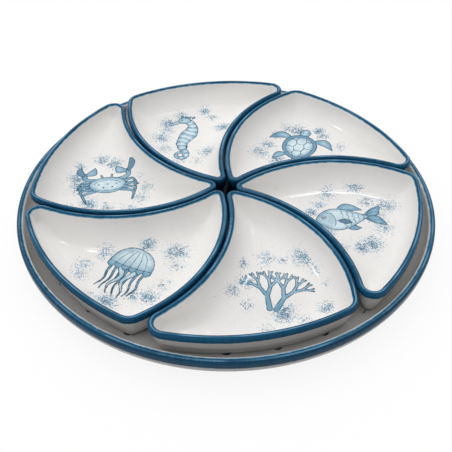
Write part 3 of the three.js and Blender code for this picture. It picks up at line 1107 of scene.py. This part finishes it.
def comma_group():
    """A round navy spot of painted shade in the middle of the tray's well, and comma strokes in a ring near
    its wall. The angle is cut into cells; in each cell a stroke lies along the ring, bowed and tapered,
    with a length drawn from the cell's number."""
    group, read, write = new_group("commas_and_shade_spot", ("Place",), ("Cover",))
    parts = split(group, stretched(group, read["Place"], (1 / MM, 1 / MM, 1 / MM)))
    x, y = parts["X"], parts["Y"]
    radius = calc(group, "SQRT", calc(group, "MULTIPLY_ADD", x, x, calc(group, "MULTIPLY", y, y)))
    cells = calc(group, "MULTIPLY", calc(group, "ARCTAN2", y, x), COMMAS / (2 * math.pi))
    cell = calc(group, "FLOOR", cells)
    draw = group.nodes.new("ShaderNodeTexWhiteNoise")
    draw.noise_dimensions = "1D"
    feed(group, draw.inputs["W"], cell)
    shortest, longest = COMMA_HALF
    half = calc(group, "MULTIPLY_ADD", draw.outputs["Value"], longest - shortest, shortest)
    along = calc(group, "SUBTRACT", calc(group, "SUBTRACT", cells, cell), 0.5)
    along = calc(group, "DIVIDE", calc(group, "MULTIPLY", along, 2 * math.pi * COMMA_RADIUS / COMMAS), half)
    square = calc(group, "MULTIPLY", along, along)
    bow = calc(group, "MULTIPLY", square, COMMA_BOW)
    aside = calc(group, "ABSOLUTE", calc(group, "ADD", calc(group, "SUBTRACT", radius, COMMA_RADIUS), bow))
    swell = calc(group, "MAXIMUM", calc(group, "SUBTRACT", 1.0, square), 0.0)
    swell = calc(group, "MULTIPLY", swell, calc(group, "MULTIPLY_ADD", along, *COMMA_TAPER))
    width = calc(group, "MULTIPLY", swell, calc(group, "MULTIPLY", half, COMMA_BULK))
    gap = calc(group, "SUBTRACT", aside, width)
    # The navy spot in the middle of the well is painted shade.
    shade_spot = ease(group, radius, SHADE_SPOT_RADIUS + BRUSH_EDGE, SHADE_SPOT_RADIUS - BRUSH_EDGE)
    feed(group, write["Cover"], calc(group, "MAXIMUM", ease(group, gap, 0.0, -BRUSH_EDGE), shade_spot))
    return group


painted_figure, sponged_specks, commas_and_shade_spot = figure_group(), sponge_group(), comma_group()
print("paint: washes with pen lines, sponged specks, comma strokes")

# %% [markdown]
# ## Two glazed materials
# Both materials are one Principled shader under a clear gloss. Colours are laid over each other in the
# order of the workshop: glaze, floor painting, blue rim, and the bare foot ring last. Numbers that are
# the same everywhere are set on the shader itself.

# %% Glazed materials
GLAZE_IOR = 1.5
GLAZE_SPECULAR = 0.13
RIPPLE_DEPTH = 0.00006
CLAY_ROUGHNESS = 0.7
DISH_BLUE = {"Inner": 3.2, "Outer": 9.0}
TRAY_BLUE = {"Inner": 2.5, "Outer": 8.6}
# Over these depths below the crest the glaze turns to the grey of painted shade, in millimetres.
SHADE_FROM, SHADE_TO = 3.0, 6.0


def glazed_material(name, blue, floor_painting, shaded_side):
    """The floor painting is a function that lays its colour over the glaze's. The shaded side is the Math
    operation that turns the distance from the crest into the depth below it: on the outside only, or on
    both sides. Below the crest the glaze is painted grey over that depth, as painted shade."""
    material = bpy.data.materials.new(name)
    material.use_nodes = True
    tree = material.node_tree
    shader = tree.nodes["Principled BSDF"]
    shader.inputs["IOR"].default_value = GLAZE_IOR
    shader.inputs["Specular IOR Level"].default_value = GLAZE_SPECULAR
    place = tree.nodes.new("ShaderNodeTexCoord").outputs["Object"]
    trail = carried(tree, "rim_trail", "Vector")
    outward = calc(tree, "MULTIPLY", split(tree, trail)["Z"], -1.0)
    depth = calc(tree, shaded_side, outward, 0.0)
    glaze = placed(tree, poured_glaze, Place=place, Thin=ease(tree, depth, SHADE_FROM, SHADE_TO))
    rim = placed(tree, brushed_blue, Trail=trail, **blue)
    clay = placed(tree, bare_clay, Place=place)
    bare = carried(tree, "bare_foot")
    colour = floor_painting(tree, place, glaze["Colour"])
    colour = mixed(tree, rim["Cover"], colour, rim["Colour"])
    feed(tree, shader.inputs["Base Color"], mixed(tree, bare, colour, clay["Colour"]))
    rough = calc(tree, "MULTIPLY_ADD", bare, CLAY_ROUGHNESS, glaze["Roughness"])
    feed(tree, shader.inputs["Roughness"], rough)
    bump = tree.nodes.new("ShaderNodeBump")
    bump.inputs["Distance"].default_value = RIPPLE_DEPTH
    feed(tree, bump.inputs["Height"], calc(tree, "MULTIPLY_ADD", clay["Height"], bare, glaze["Height"]))
    tree.links.new(bump.outputs["Normal"], shader.inputs["Normal"])
    return material


def dish_painting(tree, place, ground):
    """Sponged specks, and the figure over them."""
    density = carried(tree, "sponge")
    specked = placed(tree, sponged_specks, Ground=ground, Place=place, Density=density)["Colour"]
    paint = {name.capitalize(): carried(tree, name) for name in BLANK_PAINT}
    return placed(tree, painted_figure, Ground=specked, Place=place, **paint)["Colour"]


def tray_painting(tree, place, ground):
    """The navy spot of painted shade and the strokes, in the well only."""
    inside = calc(tree, "GREATER_THAN", carried(tree, "crest_run"), TRAY_BLUE["Inner"])
    cover = calc(tree, "MULTIPLY", placed(tree, commas_and_shade_spot, Place=place)["Cover"], inside)
    return mixed(tree, cover, ground, BLUE_DEEP)


dish_glaze = glazed_material("dish_glaze", DISH_BLUE, dish_painting, "ADD")
tray_glaze = glazed_material("tray_glaze", TRAY_BLUE, tray_painting, "ABSOLUTE")
print(f"materials: {dish_glaze.name} and {tray_glaze.name}")

# %% [markdown]
# ## The six dishes
# One set of rings serves all dishes: each is the first one turned by a sixth of a circle more. The floor
# inside the last ring is filled by the same ring shrunk towards its middle, close enough for the painting
# to lie on.

# %% Dishes
FLOOR_RINGS = 46
EVEN_FROM, EVEN_TO = 8.0, 20.0
RECESS_RINGS = 6
# Near the middle of the set the blue reaches further down the outside of each dish. The blue is the rim's
# own paint; its reach down the tips is painted shade for the dark slots and the dark middle of the swirl.
TIP_BLUE = (8.0, 115.0)
LEAST_SLIP = 0.25


def shrunk(ring, count):
    """Rings that shrink from one ring towards its middle, without the ring itself and without the
    middle."""
    share = 1 - np.arange(1, count)[:, None, None] / count
    middle = ring.mean(0)
    return middle + (ring - middle) * share


def dish_grid():
    """All rings of a dish from the middle of its underside to the middle of its floor, with their
    heights."""
    inside = run_from_crest(dish_stations) > 0
    share = np.clip((dish_stations[:, 0] - EVEN_FROM) / (EVEN_TO - EVEN_FROM), 0, 1) * inside
    walls = evened(dish_rings(dish_stations[:, 0]), share)
    recess = shrunk(walls[0], RECESS_RINGS)[::-1]
    floor = shrunk(walls[-1], FLOOR_RINGS)
    plan = np.concatenate([recess, walls, floor])
    height = np.r_[np.full(len(recess), dish_stations[0, 1]), dish_stations[:, 1],
                   np.full(len(floor), dish_stations[-1, 1])]
    return plan, height + dish_seat, crest_runs(dish_stations, len(recess), len(floor))


def turned(plan, angle):
    """A plan turned about the middle of the set."""
    spin = np.array([(math.cos(angle), math.sin(angle)), (-math.sin(angle), math.cos(angle))])
    return plan @ spin


def make_dish(name, number):
    """One dish: its skin, the place of its rim paint, its bare foot and its painted floor."""
    plan, height, crest = dish_grid()
    plan = turned(plan, number * DISH_TURN)
    around = plan.shape[1]
    rings = np.dstack([plan, np.repeat(height[:, None], around, axis=1)])
    poles = [np.r_[plan[end].mean(0), height[end]] for end in (0, -1)]
    rim = plan[np.abs(crest).argmin()]
    # The blue reaches lower near the middle: painted shade in the slots between the dishes.
    slip = np.clip((np.hypot(*rim.T) - TIP_BLUE[0]) / (TIP_BLUE[1] - TIP_BLUE[0]), LEAST_SLIP, 1)
    mesh = glazed_skin(name + "_glazed", rings, poles, rim, crest, slip)
    points = np.vstack([plan.reshape(-1, 2), poles[0][:2], poles[1][:2]])
    runs = per_point(crest, around)
    figure, place, turn, size = FIGURES[name]
    inside = runs > DISH_RIM_WIDTH
    painted = paint_floor(points, figure, place, turn, size)
    for paint, blank in BLANK_PAINT.items():
        carry(mesh, paint, np.where(inside, painted[paint], blank))
    carry(mesh, "sponge", sponge_patches(points, runs, place, number))
    mesh.materials.append(dish_glaze)
    dish = linked(name + "_glazed", mesh)
    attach(dish, name)
    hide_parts(name)
    return dish


for number, name in enumerate(DISH_NAMES):
    dish = make_dish(name, number)
    figure = FIGURES[name][0].__name__.replace("paint_", "")
    print(f"{dish.name}: {len(dish.data.polygons)} faces, {figure}")

# %% [markdown]
# ## The tray
# The tray is turned work: its section swings round the middle. A foot ring carries it, the outside sweeps
# out in a quarter of an ellipse to a beaded rim, and the inside drops down a low wall into the flat well
# that holds the dishes.

# %% Tray
TRAY_FLOOR = 6.0
TRAY_FILLET = 12.0
TRAY_WALL_LEAN = math.radians(12)
TRAY_HEEL_REACH = 16.3
TRAY_LIP_DEPTH = 5.0
TRAY_FOOT_RADIUS = 141.0
TRAY_FOOT_WIDTH = 8.0
TRAY_FOOT_HEIGHT = 4.0
TRAY_FOOT_DRAFT = 2.0
TRAY_SPACING = 2.0
TRAY_STEPS = 360
WELL_RINGS = 40
SWEEP_STEPS = 15
BAND_DRIFT = 1.3


def tray_section():
    """From the recess under the tray, round the foot, up the swept outside, over the rim and down to the
    well. The swept outside is a quarter ellipse, written as short straight stretches between soft
    corners."""
    floor = TRAY_FOOT_HEIGHT + TRAY_FLOOR
    lip = tray_height - TRAY_LIP_DEPTH
    sweep = np.linspace(-math.pi / 2, 0, SWEEP_STEPS)
    swept = np.c_[tray_radius - TRAY_HEEL_REACH * (1 - np.cos(sweep)),
                  lip + (lip - TRAY_FOOT_HEIGHT) * np.sin(sweep)]
    bead = TRAY_RIM_WIDTH / 2
    crown = tray_radius - bead - bead * math.tan(math.pi / 4 - TRAY_WALL_LEAN / 2)
    inner_foot = crown - lean_across(tray_height - floor, TRAY_WALL_LEAN)
    well_edge = inner_foot - TRAY_FILLET / math.tan(math.pi / 4 + TRAY_WALL_LEAN / 2)
    foot = [
        (TRAY_FOOT_RADIUS - TRAY_FOOT_WIDTH - TRAY_FOOT_DRAFT - SOFT_EDGE, TRAY_FOOT_HEIGHT),
        (TRAY_FOOT_RADIUS - TRAY_FOOT_WIDTH - TRAY_FOOT_DRAFT, TRAY_FOOT_HEIGHT),
        (TRAY_FOOT_RADIUS - TRAY_FOOT_WIDTH, 0),
        (TRAY_FOOT_RADIUS, 0),
        (TRAY_FOOT_RADIUS + TRAY_FOOT_DRAFT, TRAY_FOOT_HEIGHT),
    ]
    top = [(tray_radius, tray_height), (crown, tray_height)]
    well = [(inner_foot, floor), (well_edge - SOFT_EDGE, floor)]
    radii = [SOFT_EDGE] * 4 + [SOFT_EDGE] * len(swept) + [bead, bead, TRAY_FILLET]
    return rounded_section(foot + swept.tolist() + top + well, radii, TRAY_SPACING)


def make_tray():
    """The section swung round, with the recess and the well filled by rings that shrink to the middle.
    The band of blue was not brushed quite true: towards the front it drifts outward and leaves a white
    line inside the crest."""
    section = tray_section()
    share = np.arange(1, WELL_RINGS) / WELL_RINGS
    recess = np.c_[section[0, 0] * share, np.full(len(share), section[0, 1])]
    well = np.c_[section[-1, 0] * (1 - share), np.full(len(share), section[-1, 1])]
    profile = np.vstack([recess, section, well])
    crest = crest_runs(section, len(recess), len(well))
    angle = np.linspace(0, 2 * np.pi, TRAY_STEPS, endpoint=False)
    spokes = np.c_[np.cos(angle), np.sin(angle)]
    plan = profile[:, :1, None] * spokes
    rings = np.dstack([plan, np.repeat(profile[:, 1:], TRAY_STEPS, axis=1)])
    poles = [(0, 0, profile[end, 1]) for end in (0, -1)]
    drift = BAND_DRIFT * np.clip(-spokes[:, 1], 0, 1)
    rim = spokes * tray_radius
    mesh = glazed_skin("tray_glazed", rings, poles, rim, crest, np.ones(TRAY_STEPS), drift)
    carry(mesh, "crest_run", per_point(crest, TRAY_STEPS))
    mesh.materials.append(tray_glaze)
    tray = linked("tray_glazed", mesh)
    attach(tray, "tray")
    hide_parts("tray")
    return tray


tray = make_tray()
print(f"{tray.name}: {len(tray.data.polygons)} faces")
